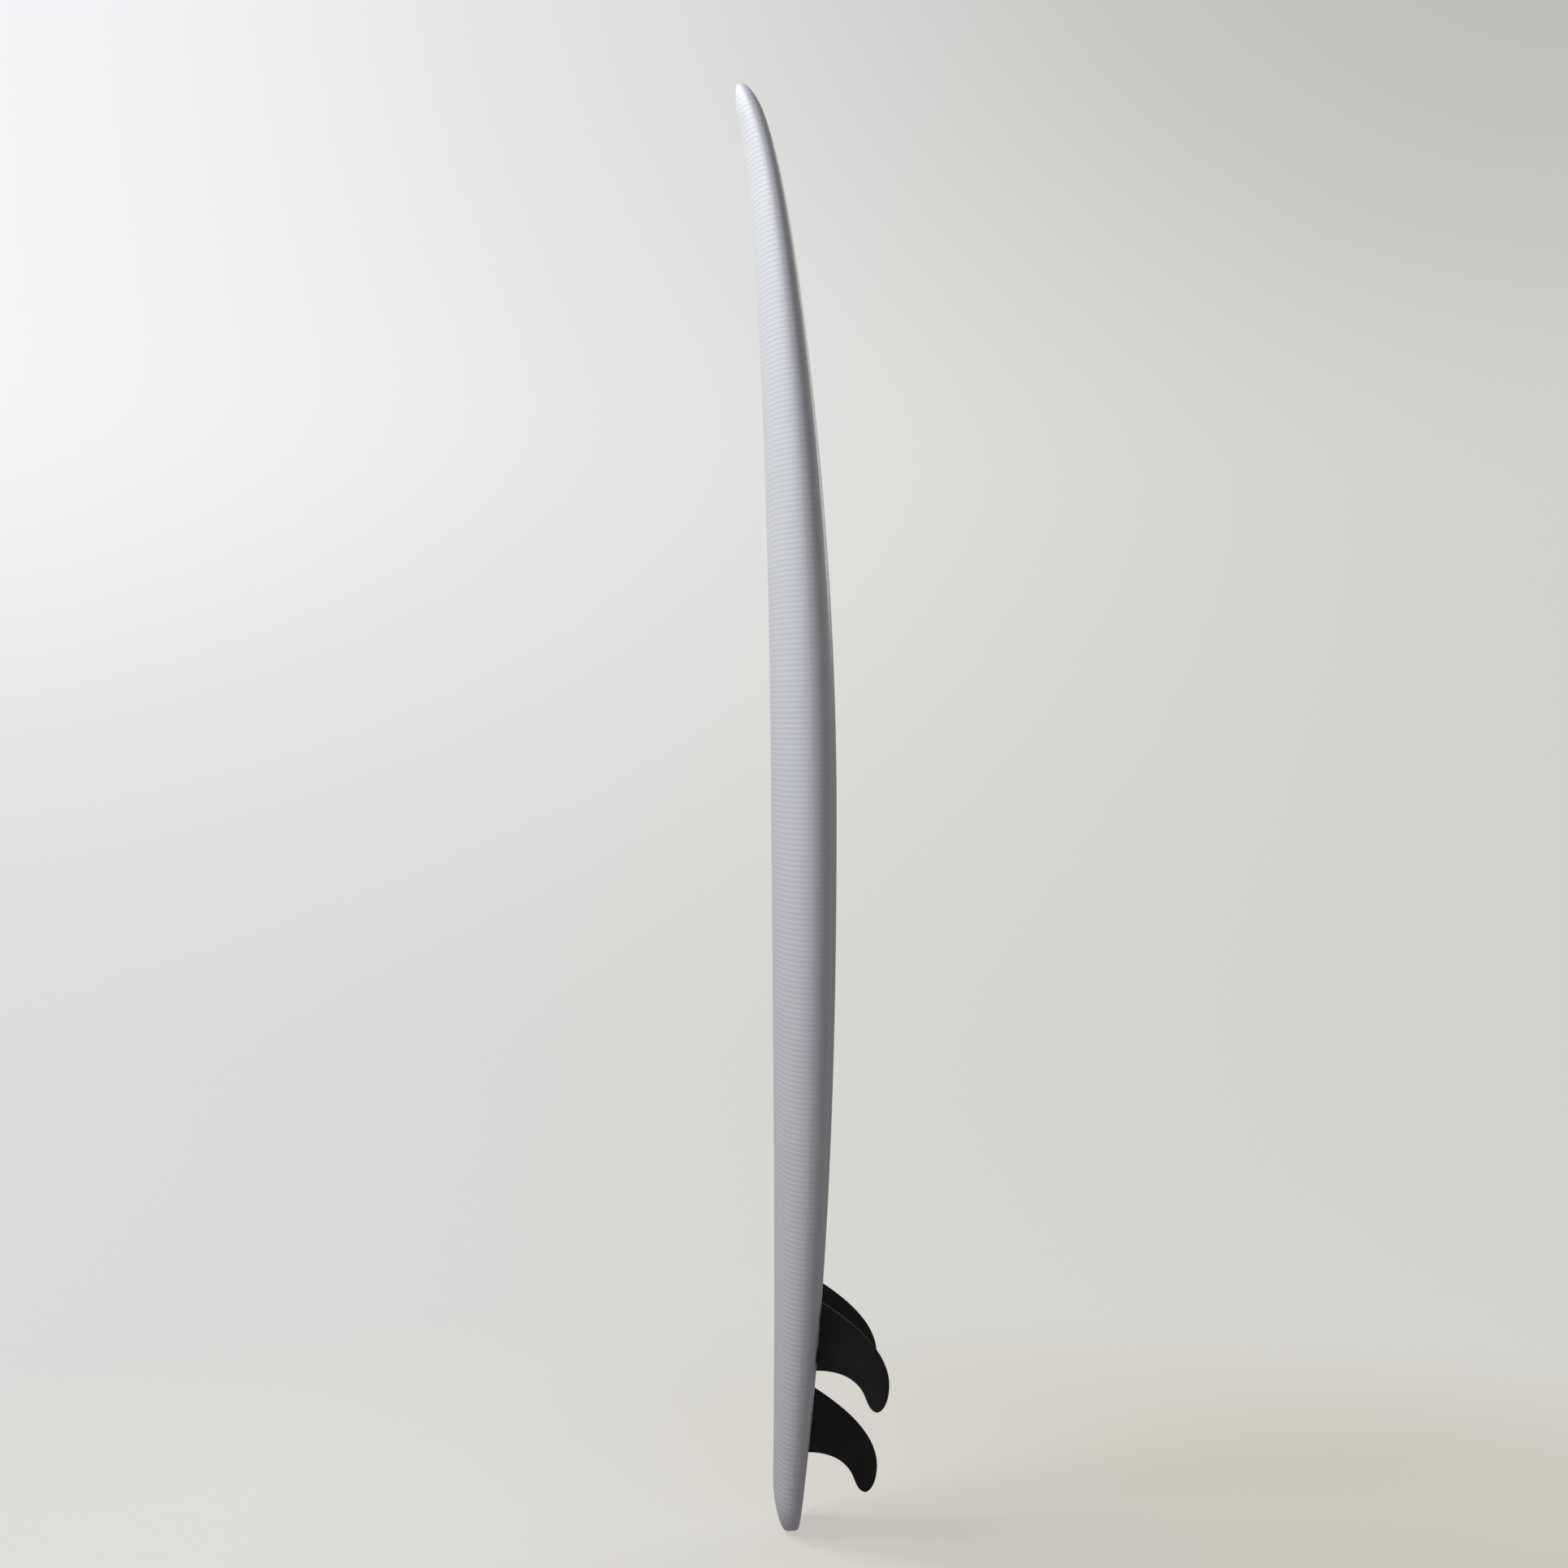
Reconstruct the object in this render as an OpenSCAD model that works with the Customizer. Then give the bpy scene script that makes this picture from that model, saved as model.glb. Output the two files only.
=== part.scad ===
/* [Board] */
// Length of the board from tail to nose tip
board_l = 2286; // [2140:10:2440]
// Greatest width, rail to rail
board_w = 550; // [500:5:600]
// Height of the widest point above the tail
wide_z = 1160; // [1000:10:1300]
// Width of the tail block before its corners are rounded
tail_w = 200; // [160:5:240]
// Reach of the round corners at the tail, along the board
tail_corner = 52; // [40:1:80]

/* [Thickness] */
// Greatest thickness at the middle line
mid_t = 94; // [80:1:100]
// Height of the thickest point above the tail
thick_z = 1220; // [1000:10:1400]
// Thickness that the nose tapers to
nose_t = 33; // [28:1:40]
// Thickness that the tail tapers to
tail_t = 39; // [34:1:46]
// Share of the thickness that lies below the rail's widest line
low_share = 0.42; // [0.35:0.01:0.5]

/* [Rocker] */
// Height of the flattest place of the bottom above the tail
rocker_z = 1150; // [1000:10:1300]
// Lift of the nose from its long curve
nose_rocker = 106; // [80:1:130]
// Further lift in the last part of the nose
nose_flip = 23; // [0:1:30]
// Lift of the tail
tail_rocker = 54; // [40:1:70]

/* [Skins] */
// Thickness of the closed-cell foam skin over deck and rails
skin_t = 4; // [3:0.5:5]
// Thickness of the slick plastic sheet under the board
slick_t = 2; // [1.5:0.5:2]
// Thickness of each wooden stringer
stringer_t = 4; // [3:0.5:6]
// Distance of each outer stringer from the middle line
stringer_y = 90; // [70:5:105]

/* [Fins] */
// Length of a fin's base
fin_base = 107; // [96:1:112]
// Thickness of a fin at its base
fin_t = 7; // [6:0.5:8]
// Height of the centre fin's base middle above the tail
centre_fin_z = 172; // [150:1:190]
// Height of the side fins' base middles above the tail
side_fin_z = 325; // [300:1:360]
// Distance of the side fins' base middles from the middle line
side_fin_y = 142; // [130:1:143]
// Angle by which each side fin's leading end turns in
toe_in = 3; // [0:0.5:5]

/* [Fin plugs] */
// Outer radius of a fin plug
plug_r = 14; // [13:0.5:15]
// Depth of a fin plug
plug_deep = 19; // [18:0.5:20]
// Distance between the two plugs of one fin
plug_gap = 58; // [54:1:64]
// Length of a fin tab along the board
tab_l = 18; // [15:1:19]
// Thickness of a fin tab
tab_t = 6.2; // [5:0.1:6.4]
// Depth of a fin tab below the bottom
tab_deep = 14; // [12:0.5:15]

/* [Leash plug] */
// Height of the leash plug above the tail
leash_z = 88; // [80:1:92]
// Distance of the leash plug from the middle line
leash_y = 32; // [28:1:36]
// Outer radius of the leash plug
leash_r = 15; // [14:0.5:16]
// Inner radius of its cup
cup_r = 11; // [10:0.5:11.5]
// Depth of its cup
cup_deep = 13; // [11:0.5:13]
// Radius of its steel bar
bar_r = 2; // [1.5:0.25:2.5]

/* [Hidden] */
$fn = 64;

// Colours of the pieces
skin_colour = [0.86, 0.87, 0.88];
slick_colour = [0.75, 0.76, 0.78];
core_colour = [0.96, 0.96, 0.94];
wood_colour = [0.78, 0.62, 0.42];
fin_colour = [0.08, 0.08, 0.08];
plug_colour = [0.15, 0.15, 0.16];
steel_colour = [0.72, 0.73, 0.75];

// How the thickness falls away towards nose and tail
nose_thinning = 1.7;
tail_thinning = 2.1;
// How the bottom bends towards nose and tail
nose_bend = 1.9;
tail_bend = 2.4;
flip_bend = 14;
// How the outline closes towards nose and tail
nose_fullness = 2.5;
nose_point = 0.52;
tail_fullness = 2.1;
// Reach of the rounding of nose and tail in thickness, along the board. The tail
// is round towards the deck and nearly square towards the bottom.
nose_round = 56;
deck_tail_round = 70;
bottom_tail_round = 6;
// How much of each rounding is taken before it ends in a small flat
nose_blunt = 0.93;
deck_tail_blunt = 0.946;
bottom_tail_blunt = 0.5;
deck_tail_power = 1.8;
corner_blunt = 0.96;
corner_power = 2.2;
// Powers of the section curve: [across, through] for deck and bottom
deck_curve = [2.5, 2.0];
bottom_curve = [6.0, 2.4];
// Rings along the board, and points around each ring
rings = 46;
ring_points = 28;
// The slick sheet starts this many ring points in from the rails, and this
// many rings in from nose and tail
slick_first = 3;
slick_margin = 3;
// Half the depth of the boxes that cut the board into strips
reach = 1000;
// How far a cut runs past the surface that it opens
over = 5;
// Distances over which the slope of the surface is measured, along and across
probe_z = 50;
probe_y = 4;

// Clearance of a fin above the bottom, of a tab in its slot, and of a screw
fin_lift = 0.4;
tab_gap = 0.2;
screw_gap = 0.05;
slot_deep = tab_deep + 1;
slot_l = tab_l + 1;
// Grub screw: radius, length, hex socket and lean from the plug's axis
screw_r = 2.5;
screw_l = 6;
hex_af = 2.5;
hex_deep = 3;
screw_lean = 30;
screw_y = 9.2;
screw_sunk = 1.6;
// Fin outline as Bezier curves, for a base of 110: [along the base, out]
fin_pattern_l = 110;
lead_low = [[0, 0], [26, 50], [66, 113], [121, 118.5]];
lead_high = [[121, 118.5], [143, 120.5], [164, 115], [167, 103]];
trail_low = [[110, 0], [107, 30], [112, 58], [135, 76]];
trail_high = [[135, 76], [146, 84.6], [166, 88], [167, 103]];
fin_k = fin_base / fin_pattern_l;
fin_steps = 20;
foil_steps = 8;
fin_edge_t = 1.2;
// The blade ends in a small flat at this share of its outline, where its
// thickness and its edge have lost these shares
tip_share = 0.985;
tip_thinning = 0.75;
tip_edge_thinning = 0.3;
// How far each tab reaches up into the blade
tab_root = 2;
// Leash plug: depth of its body below the deck, depth of its bar, and radius
// of the rounding at the bottom of its cup
leash_deep = 17;
bar_sunk = 4.5;
cup_round = 4;
// How far each end of the bar goes into the cup's wall
bar_bite = 3;

// ---- Shape of the whole board ----

// How far z lies from a middle height, as a share of the way to the end
function share(z, middle) =
    z > middle
    ? min((z - middle) / (board_l - middle), 0.9995)
    : min((middle - z) / middle, 1);

// Rounding factor that closes a size near an end of the board
function closing(gap, span, blunt, power) =
    gap >= span ? 1 : pow(1 - pow(blunt * (1 - gap / span), power), 1 / power);

// Half the width at height z
function half_w(z) =
    let (s = share(z, wide_z), half = board_w / 2, tail = tail_w / 2)
    (z > wide_z
        ? half * pow(1 - pow(s, nose_fullness), nose_point)
        : tail + (half - tail) * (1 - pow(s, tail_fullness)))
    * closing(z, tail_corner, corner_blunt, corner_power);

// Thickness at height z before the ends are rounded
function taper_t(z) =
    let (s = share(z, thick_z))
    z > thick_z
    ? mid_t - (mid_t - nose_t) * pow(s, nose_thinning)
    : mid_t - (mid_t - tail_t) * pow(s, tail_thinning);

// Depth of the deck and of the bottom from the rail's widest line
function deck_t(z) =
    (1 - low_share) * taper_t(z)
    * closing(z, deck_tail_round, deck_tail_blunt, deck_tail_power)
    * closing(board_l - z, nose_round, nose_blunt, 2);

function bottom_t(z) =
    low_share * taper_t(z)
    * closing(z, bottom_tail_round, bottom_tail_blunt, 2)
    * closing(board_l - z, nose_round, nose_blunt, 2);

// Lift of the bottom at height z, away from its flattest place
function lift(z) =
    let (s = share(z, rocker_z))
    z > rocker_z
    ? nose_rocker * pow(s, nose_bend) + nose_flip * pow(s, flip_bend)
    : tail_rocker * pow(s, tail_bend);

// Place of the bottom's middle line, and of the rail's widest line
flat_x = tail_rocker + low_share * tail_t;
function bottom_x(z) = flat_x - lift(z);
function rail_x(z) = bottom_x(z) - low_share * taper_t(z);

// Point on the board's skin at height z and angle a around the section.
// deck_in and bottom_in pull the surface inwards.
function skin_point(z, a, deck_in, bottom_in) =
    let (
        c = cos(a),
        s = sin(a),
        curve = s < 0 ? deck_curve : bottom_curve,
        deck = deck_t(z) - deck_in,
        bottom = bottom_t(z) - bottom_in,
        across = sign(c) * pow(abs(c), 2 / curve[0]),
        through = pow(abs(s), 2 / curve[1]),
        far = 1 - 2 * z / board_l
    )
    [
        rail_x(z) + (s < 0 ? -deck : bottom) * through,
        (half_w(z) - deck_in) * across,
        z + far * deck_in
    ];

// Place of the bottom's surface at height z and distance y across
function bottom_at(z, y) =
    rail_x(z) + bottom_t(z)
    * pow(1 - pow(abs(y) / half_w(z), bottom_curve[0]), 1 / bottom_curve[1]);

// Place of the deck's surface at height z and distance y across
function deck_at(z, y) =
    rail_x(z) - deck_t(z)
    * pow(1 - pow(abs(y) / half_w(z), deck_curve[0]), 1 / deck_curve[1]);

// Height of ring k: rings stand closer together near nose and tail
function ring_z(k) = board_l / 2 * (1 - cos(180 * k / rings));

// Closed solid of the board with its deck and bottom pulled in
module board_solid(deck_in, bottom_in) {
    n = ring_points;
    points = [
        for (k = [0:rings], j = [0:n - 1])
            skin_point(ring_z(k), 360 * (j + 0.5) / n, deck_in, bottom_in)
    ];
    sides = [
        for (k = [0:rings - 1], j = [0:n - 1])
            let (a = k * n + j, b = k * n + (j + 1) % n)
            each [[a, a + n, b + n], [a, b + n, b]]
    ];
    tail_cap = [for (j = [0:n - 1]) j];
    nose_cap = [for (j = [n - 1:-1:0]) rings * n + j];
    polyhedron(points, concat([tail_cap], sides, [nose_cap]));
}

// True if the patch after ring k and ring point j belongs to the slick sheet
function is_slick(k, j) =
    k >= slick_margin && k < rings - slick_margin
    && j >= slick_first && j < ring_points / 2 - 1 - slick_first;

// Two triangles of the wall under the edge from point p to point q. Both sheets
// split it along the same diagonal, so that they meet without a gap.
function seam_wall(p, q, inner) =
    p < q
    ? [[q, p, inner + p], [q, inner + p, inner + q]]
    : [[q, p, inner + q], [p, inner + p, inner + q]];

// Closed sheet between the board's surface and the same surface pulled in:
// the slick sheet's patches, or all the other patches with both ends
module shell(slick) {
    n = ring_points;
    inner = (rings + 1) * n;
    points = [
        for (depth = [[0, 0], [skin_t, slick_t]], k = [0:rings], j = [0:n - 1])
            skin_point(ring_z(k), 360 * (j + 0.5) / n, depth[0], depth[1])
    ];
    patches = [
        for (k = [0:rings - 1], j = [0:n - 1])
            if (is_slick(k, j) == slick) [k, j]
    ];
    faces = [
        for (patch = patches)
            let (
                k = patch[0],
                j = patch[1],
                next = (j + 1) % n,
                corners = [k * n + j, (k + 1) * n + j, (k + 1) * n + next, k * n + next],
                beside = [[k, j - 1], [k + 1, j], [k, next], [k - 1, j]]
            )
            each concat(
                [
                    [corners[0], corners[1], corners[2]],
                    [corners[0], corners[2], corners[3]],
                    [inner + corners[2], inner + corners[1], inner + corners[0]],
                    [inner + corners[3], inner + corners[2], inner + corners[0]]
                ],
                [
                    for (i = [0:3])
                        let (p = corners[i], q = corners[(i + 1) % 4])
                        if (is_slick(beside[i][0], beside[i][1]) != slick)
                            each seam_wall(p, q, inner)
                ]
            )
    ];
    caps = slick ? [] : [
        for (start = [0, inner])
            let (
                tail_cap = [for (j = [0:n - 1]) start + j],
                nose_cap = [for (j = [n - 1:-1:0]) start + rings * n + j]
            )
            each start == 0
                ? [tail_cap, nose_cap]
                : [[for (i = [n - 1:-1:0]) tail_cap[i]], [for (i = [n - 1:-1:0]) nose_cap[i]]]
    ];
    polyhedron(points, concat(faces, caps));
}

// ---- Places of fins and plugs ----

// Moves its children to the bottom at [z, y]: +X out of the bottom,
// +Z towards the nose, turned in by toe
module at_bottom(z, y, toe) {
    rise = (bottom_at(z + probe_z, y) - bottom_at(z - probe_z, y)) / (2 * probe_z);
    fall = (bottom_at(z, y - probe_y) - bottom_at(z, y + probe_y)) / (2 * probe_y);
    translate([bottom_at(z, y), y, z])
        rotate([0, atan(rise), 0])
            rotate([0, 0, atan(fall)])
                rotate([toe, 0, 0])
                    children();
}

// Moves its children to one fin's place: side is 0, 1 (left) or -1 (right)
module at_fin(side) {
    at_bottom(
        side == 0 ? centre_fin_z : side_fin_z,
        side * side_fin_y,
        side * toe_in
    ) children();
}

// Moves its children to one plug: end is 1 for the front, -1 for the rear
module at_plug(side, end) {
    at_fin(side) translate([0, 0, end * plug_gap / 2]) children();
}

// Moves its children to the leash plug: +Z out of the deck
module at_leash() {
    front = deck_at(leash_z + leash_r, leash_y);
    rear = deck_at(leash_z - leash_r, leash_y);
    left = deck_at(leash_z, leash_y + probe_y);
    right = deck_at(leash_z, leash_y - probe_y);
    rise = (front - rear) / (2 * leash_r);
    fall = (left - right) / (2 * probe_y);
    translate([deck_at(leash_z, leash_y), leash_y, leash_z])
        rotate([0, atan(rise), 0])
            rotate([0, 0, -atan(fall)])
                rotate([0, -90, 0])
                    children();
}

// Round pockets for all the plugs of the fins on one side
module fin_pockets(sides) {
    for (side = sides, end = [-1, 1])
        at_plug(side, end)
            translate([-plug_deep, 0, 0])
                rotate([0, 90, 0]) cylinder(h = plug_deep + over, r = plug_r);
}

// Round pocket for the leash plug
module leash_pocket() {
    at_leash()
        translate([0, 0, -leash_deep]) cylinder(h = leash_deep + over, r = leash_r);
}

// ---- Skins, core and stringers ----

module deck_skin() {
    color(skin_colour)
        difference() {
            shell(false);
            leash_pocket();
        }
}

module bottom_slick() {
    color(slick_colour)
        difference() {
            shell(true);
            fin_pockets([-1, 0, 1]);
        }
}

// Strip of the board between two distances across
module strip(low_y, high_y) {
    intersection() {
        board_solid(skin_t, slick_t);
        translate([-reach, low_y, -over])
            cube([2 * reach, high_y - low_y, board_l + 2 * over]);
    }
}

module core_strip(low_y, high_y, sides) {
    color(core_colour)
        difference() {
            strip(low_y, high_y);
            fin_pockets(sides);
            leash_pocket();
        }
}

inner_y = stringer_t / 2;
outer_low = stringer_y - stringer_t / 2;
outer_high = stringer_y + stringer_t / 2;

module core_left() {
    core_strip(inner_y, outer_low, [0]);
}

module core_right() {
    core_strip(-outer_low, -inner_y, [0]);
}

module core_left_rail() {
    core_strip(outer_high, board_w, [1]);
}

module core_right_rail() {
    core_strip(-board_w, -outer_high, [-1]);
}

module stringer_centre() {
    color(wood_colour)
        difference() {
            strip(-inner_y, inner_y);
            fin_pockets([0]);
        }
}

module stringer_left() {
    color(wood_colour) strip(outer_low, outer_high);
}

module stringer_right() {
    color(wood_colour) strip(-outer_high, -outer_low);
}

// ---- Fins ----

// Point at t along a cubic Bezier curve
function bezier(p, t) =
    pow(1 - t, 3) * p[0] + 3 * t * pow(1 - t, 2) * p[1]
    + 3 * t * t * (1 - t) * p[2] + pow(t, 3) * p[3];

// Point on a fin's edge: the first half of t is its lower curve
function edge_point(low, high, t) =
    fin_k * (t < 0.5 ? bezier(low, 2 * t) : bezier(high, 2 * t - 1));

// Half-thickness of the foil at share c of its chord, for a thickness of 1
function foil(c) =
    5 * (0.2969 * sqrt(c) - 0.126 * c - 0.3516 * c * c
        + 0.2843 * pow(c, 3) - 0.1036 * pow(c, 4));

// Fin blade: bulge is [inner face, outer face], each a share of the foil
module fin_blade(bulge) {
    n = 2 * foil_steps + 2;
    chord = [for (j = [0:foil_steps]) (1 - cos(180 * j / foil_steps)) / 2];
    points = [
        for (k = [0:fin_steps])
            let (
                t = tip_share * k / fin_steps,
                lead = edge_point(lead_low, lead_high, t),
                trail = edge_point(trail_low, trail_high, t),
                thick = fin_t * (1 - tip_thinning * t),
                edge = fin_edge_t / 2 * (1 - tip_edge_thinning * t)
            )
            for (j = [0:n - 1])
                let (
                    outer = j <= foil_steps,
                    c = outer ? chord[j] : chord[n - 1 - j],
                    p = lead + (trail - lead) * c,
                    y = edge + thick * foil(c) * (outer ? bulge[1] : bulge[0])
                )
                [p[1] + fin_lift, (outer ? 1 : -1) * y, fin_base / 2 - p[0]]
    ];
    sides = [
        for (k = [0:fin_steps - 1], j = [0:n - 1])
            let (a = k * n + j, b = k * n + (j + 1) % n)
            each [[a, b, b + n], [a, b + n, a + n]]
    ];
    base = [for (j = [n - 1:-1:0]) j];
    tip = [for (j = [0:n - 1]) fin_steps * n + j];
    polyhedron(points, concat([base], sides, [tip]));
}

// Blade with the two tabs that go into the plugs
module fin(side) {
    bulge = side == 0 ? [1, 1] : side > 0 ? [0.2, 1.8] : [1.8, 0.2];
    color(fin_colour)
        at_fin(side)
            union() {
                fin_blade(bulge);
                for (end = [-1, 1])
                    translate([-tab_deep, -tab_t / 2, end * plug_gap / 2 - tab_l / 2])
                        cube([tab_deep + fin_lift + tab_root, tab_t, tab_l]);
            }
}

module fin_centre() {
    fin(0);
}

module fin_left() {
    fin(1);
}

module fin_right() {
    fin(-1);
}

// ---- Fin plugs and their grub screws ----

// Moves its children onto a screw's axis: +Z out of the plug
module at_screw(side, end) {
    lean_side = side == 0 ? 1 : -side;
    at_plug(side, end)
        translate([0, lean_side * screw_y, 0])
            rotate([0, 0, lean_side * screw_lean])
                rotate([0, 90, 0])
                    children();
}

module fin_plug(side, end) {
    slot_t = tab_t + 2 * tab_gap;
    color(plug_colour)
        difference() {
            at_plug(side, end)
                translate([-plug_deep, 0, 0])
                    rotate([0, 90, 0]) cylinder(h = plug_deep, r = plug_r);
            at_plug(side, end)
                translate([-slot_deep, -slot_t / 2, -slot_l / 2])
                    cube([slot_deep + over, slot_t, slot_l]);
            at_screw(side, end)
                translate([0, 0, -screw_sunk - screw_l])
                    cylinder(h = screw_sunk + screw_l + over, r = screw_r + screw_gap);
        }
}

module grub_screw(side, end) {
    color(steel_colour)
        at_screw(side, end)
            translate([0, 0, -screw_sunk - screw_l])
                difference() {
                    cylinder(h = screw_l, r = screw_r);
                    translate([0, 0, screw_l - hex_deep])
                        cylinder(h = hex_deep + over, r = hex_af / sqrt(3), $fn = 6);
                }
}

// ---- Leash plug ----

module bar_rod() {
    at_leash()
        translate([0, 0, -bar_sunk])
            rotate([90, 0, 0])
                cylinder(h = 2 * (cup_r + bar_bite), r = bar_r, center = true);
}

module leash_plug() {
    flat_r = cup_r - cup_round;
    floor_h = leash_deep - cup_deep;
    color(plug_colour)
        difference() {
            at_leash()
                translate([0, 0, -leash_deep])
                    rotate_extrude()
                        difference() {
                            square([leash_r, leash_deep]);
                            translate([0, floor_h]) square([flat_r, cup_deep + over]);
                            translate([0, floor_h + cup_round]) square([cup_r, cup_deep]);
                            translate([flat_r, floor_h + cup_round]) circle(cup_round);
                        }
            bar_rod();
        }
}

module leash_bar() {
    color(steel_colour) bar_rod();
}

deck_skin();
bottom_slick();
core_left_rail();
core_left();
core_right();
core_right_rail();
stringer_centre();
stringer_left();
stringer_right();
fin_centre();
fin_left();
fin_right();
fin_plug(0, 1);  // plug_centre_front
fin_plug(0, -1);  // plug_centre_rear
fin_plug(1, 1);  // plug_left_front
fin_plug(1, -1);  // plug_left_rear
fin_plug(-1, 1);  // plug_right_front
fin_plug(-1, -1);  // plug_right_rear
grub_screw(0, 1);  // screw_centre_front
grub_screw(0, -1);  // screw_centre_rear
grub_screw(1, 1);  // screw_left_front
grub_screw(1, -1);  // screw_left_rear
grub_screw(-1, 1);  // screw_right_front
grub_screw(-1, -1);  // screw_right_rear
leash_plug();
leash_bar();
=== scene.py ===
import math

import bmesh
import bpy
import numpy as np
from mathutils import Matrix, Vector


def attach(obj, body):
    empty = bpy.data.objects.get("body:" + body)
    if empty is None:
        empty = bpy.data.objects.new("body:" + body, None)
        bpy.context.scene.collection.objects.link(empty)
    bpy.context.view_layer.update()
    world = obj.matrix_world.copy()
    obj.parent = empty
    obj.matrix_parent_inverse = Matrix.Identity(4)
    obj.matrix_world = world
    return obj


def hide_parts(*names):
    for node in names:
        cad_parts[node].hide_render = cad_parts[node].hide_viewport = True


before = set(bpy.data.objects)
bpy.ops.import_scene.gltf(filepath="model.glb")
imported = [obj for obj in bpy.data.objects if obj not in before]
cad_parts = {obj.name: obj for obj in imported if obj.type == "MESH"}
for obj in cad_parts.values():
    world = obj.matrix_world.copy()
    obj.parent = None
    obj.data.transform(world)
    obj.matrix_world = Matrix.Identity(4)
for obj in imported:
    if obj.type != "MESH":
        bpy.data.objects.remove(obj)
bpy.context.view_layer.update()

# Soft-top surfboard standing on its tail, in metres: +Z to the nose, +X out of the bottom
print("frame loaded:", len(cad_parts), "nodes")


class Wire:  # one output of a shader node, so that a material's maths reads as an expression
    def __init__(self, finish, socket):
        self.finish = finish
        self.socket = socket

    def maths(self, operation, first, second=0.0):
        return self.finish.add("ShaderNodeMath", {"operation": operation}, {0: first, 1: second})

    def __add__(self, other):
        return self.maths("ADD", self, other)

    def __radd__(self, other):
        return self.maths("ADD", other, self)

    def __sub__(self, other):
        return self.maths("SUBTRACT", self, other)

    def __rsub__(self, other):
        return self.maths("SUBTRACT", other, self)

    def __mul__(self, other):
        return self.maths("MULTIPLY", self, other)

    def __rmul__(self, other):
        return self.maths("MULTIPLY", other, self)

    def __truediv__(self, other):
        return self.maths("DIVIDE", self, other)

    def sine(self):
        return self.maths("SINE", self)

    def size(self):  # without its sign
        return self.maths("ABSOLUTE", self)

    def between(self, low, high):  # 0 at low, 1 at high, and smooth between them
        return self.finish.add("ShaderNodeMapRange", {"interpolation_type": "SMOOTHSTEP"},
                               {"Value": self, "From Min": low, "From Max": high})

    def mixed(self, first, second):  # a colour that goes from first to second as this goes from 0 to 1
        return self.finish.add("ShaderNodeMix", {"data_type": "RGBA"}, {0: self, 6: first, 7: second}, 2)


class Finish:  # one material and the nodes in it
    def __init__(self, name):
        self.material = bpy.data.materials.new(name)
        self.material.use_nodes = True
        self.tree = self.material.node_tree
        self.tree.nodes.clear()

    def add(self, kind, settings=None, sockets=None, out=0):
        node = self.tree.nodes.new(kind)
        for key, value in (settings or {}).items():
            setattr(node, key, value)
        for key, value in (sockets or {}).items():
            socket = node.inputs[key]
            if isinstance(value, Wire):
                self.tree.links.new(value.socket, socket)
            elif socket.type == "RGBA":
                socket.default_value = (*value, 1.0)
            else:
                socket.default_value = value
        return Wire(self, node.outputs[out]) if node.outputs else None

    def place(self):  # a point's place in the shared frame
        return self.add("ShaderNodeTexCoord", out="Object")

    def lay(self):  # a point's place on the flat skin: round the girth, and along the board
        return self.add("ShaderNodeUVMap", {"uv_map": "lay"})

    def parts(self, vector):
        first = self.add("ShaderNodeSeparateXYZ", None, {0: vector})
        return [Wire(self, socket) for socket in first.socket.node.outputs]

    def stretched(self, vector, scale):
        return self.add("ShaderNodeVectorMath", {"operation": "MULTIPLY"}, {0: vector, 1: scale})

    def noise(self, vector, scale, detail=3.0, roughness=0.5):
        return self.add("ShaderNodeTexNoise", None,
                        {"Vector": vector, "Scale": scale, "Detail": detail, "Roughness": roughness})

    def cells(self, vector, scale, feature="F1"):
        return self.add("ShaderNodeTexVoronoi", {"feature": feature}, {"Vector": vector, "Scale": scale})

    def bump(self, height, distance, under=None):
        sockets = {"Height": height, "Distance": distance}
        if under:
            sockets["Normal"] = under
        return self.add("ShaderNodeBump", None, sockets)

    def close(self, **sockets):
        named = {key.replace("_", " "): value for key, value in sockets.items()}
        surface = self.add("ShaderNodeBsdfPrincipled", None, named)
        self.add("ShaderNodeOutputMaterial", None, {"Surface": surface})
        return self.material


# The board's shape, from the same formulas and sizes as the design

board = {
    "length": 2.286, "halfWidth": 0.275, "wideZ": 1.160, "tailHalf": 0.100,
    "midThick": 0.094, "thickZ": 1.220, "noseThick": 0.033, "tailThick": 0.039, "lowShare": 0.42,
    "rockerZ": 1.150, "noseRocker": 0.106, "noseFlip": 0.023, "tailRocker": 0.054,
    "skinThick": 0.004, "slickThick": 0.002,
    # how each end closes: reach along the board, how blunt it ends, power of the curve
    "cornerEnd": (0.052, 0.96, 2.2), "noseEnd": (0.056, 0.93, 2.0),
    "deckTailEnd": (0.070, 0.946, 1.8), "bottomTailEnd": (0.006, 0.5, 2.0),
    # powers of the outline, the taper and the rocker, towards the nose and towards the tail
    "noseFullness": 2.5, "nosePoint": 0.52, "tailFullness": 2.1, "noseThinning": 1.7, "tailThinning": 2.1,
    "noseBend": 1.9, "tailBend": 2.4, "flipBend": 14,
    "deckCurve": (2.5, 2.0), "bottomCurve": (6.0, 2.4),  # powers of the section: across, through
}
flatX = board["tailRocker"] + board["lowShare"] * board["tailThick"]


def share(z, middle):  # how far z lies from middle, as a share of the way to the end
    toNose = np.minimum((z - middle) / (board["length"] - middle), 0.9995)
    toTail = np.minimum((middle - z) / middle, 1.0)
    return np.where(z > middle, toNose, toTail)


def closing(gap, end):  # rounding factor near an end of the board
    reach, blunt, power = end
    inside = blunt * (1 - np.minimum(gap / reach, 1))
    return (1 - inside ** power) ** (1 / power)


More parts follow.
